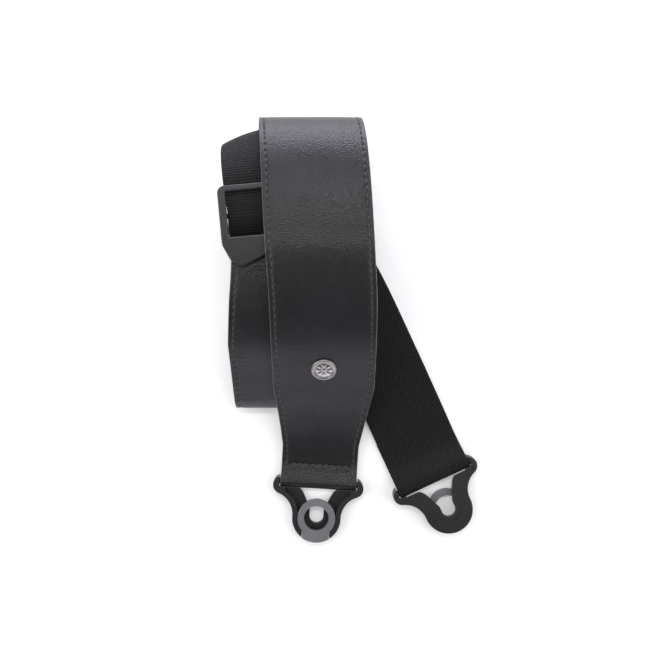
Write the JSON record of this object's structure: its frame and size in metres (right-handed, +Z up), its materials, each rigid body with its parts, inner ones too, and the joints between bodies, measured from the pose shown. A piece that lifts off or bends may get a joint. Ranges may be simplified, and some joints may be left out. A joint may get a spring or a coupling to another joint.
{
  "type": "guitar strap",
  "caption": "Black leather guitar strap lying loosely coiled, with a webbing tail, a threaded slider and a spring-locked strap-button connector at each end.",
  "frame": {"origin": "under the middle of the whole object, on the table it lies on", "axes": "+Z up from the table, +Y along the coil towards its large outer bend, +X across the coil towards the side where the webbing comes out"},
  "size_m": [0.1638, 0.2726, 0.0624],
  "materials": {
    "leather_face": "black pebbled grain leather, satin",
    "leather_backing": "black brushed split leather",
    "stitch_thread": "black bonded polyester thread",
    "webbing": "black ribbed polypropylene webbing",
    "badge_metal": "antique nickel",
    "rivet_steel": "plated steel",
    "slider_metal": "satin gunmetal black",
    "connector_plastic": "black moulded nylon",
    "lock_plastic": "grey moulded plastic",
    "spring_steel": "spring steel"
  },
  "bodies": {
    "strap": {"leather_face": "leather_face", "leather_backing": "leather_backing", "edge_stitching_left": "stitch_thread", "edge_stitching_right": "stitch_thread", "front_fold_stitching": "stitch_thread", "slider_fold_stitching": "stitch_thread", "webbing": "webbing", "webbing_fold_stitching": "stitch_thread", "badge_cap": "badge_metal", "badge_rivet_post": "rivet_steel", "badge_rivet_washer": "rivet_steel"},
    "slider": {"slider_frame": "slider_metal"},
    "front_connector": {"front_connector_body": "connector_plastic", "front_pivot_pin": "spring_steel", "front_lock_spring": "spring_steel"},
    "front_lock": {"front_lock_ring": "lock_plastic"},
    "rear_connector": {"rear_connector_body": "connector_plastic", "rear_pivot_pin": "spring_steel", "rear_lock_spring": "spring_steel"},
    "rear_lock": {"rear_lock_ring": "lock_plastic"}
  },
  "joints": [
    {"name": "front_connector_swivel", "type": "hinge", "parent": "strap", "child": "front_connector", "pos_m": [-0.02224, -0.09794, 0.00385], "axis": [-0.9981, 0.061, 0], "range_deg": [0, 75]},
    {"name": "front_lock_hinge", "type": "hinge", "parent": "front_connector", "child": "front_lock", "pos_m": [-0.02425, -0.13068, 0.00595], "axis": [0.9981, -0.061, 0], "range_deg": [0, 14], "stiffness_Nm_per_rad": 0.02, "springref_deg": -34.38, "deforming": ["front_lock_spring"]},
    {"name": "rear_connector_swivel", "type": "hinge", "parent": "strap", "child": "rear_connector", "pos_m": [0.05356, -0.09409, 0.0049], "axis": [-0.907, -0.421, 0], "range_deg": [0, 75]},
    {"name": "rear_lock_hinge", "type": "hinge", "parent": "rear_connector", "child": "rear_lock", "pos_m": [0.06737, -0.12384, 0.0028], "axis": [-0.907, -0.421, 0], "range_deg": [0, 14], "stiffness_Nm_per_rad": 0.02, "springref_deg": -34.38, "deforming": ["rear_lock_spring"]},
    {"name": "slider_tip", "type": "hinge", "parent": "strap", "child": "slider", "pos_m": [-0.049, 0.05273, 0.04915], "axis": [0.9962, 0.0872, 0], "range_deg": [-3, 0], "deforming": ["webbing"]}
  ]
}
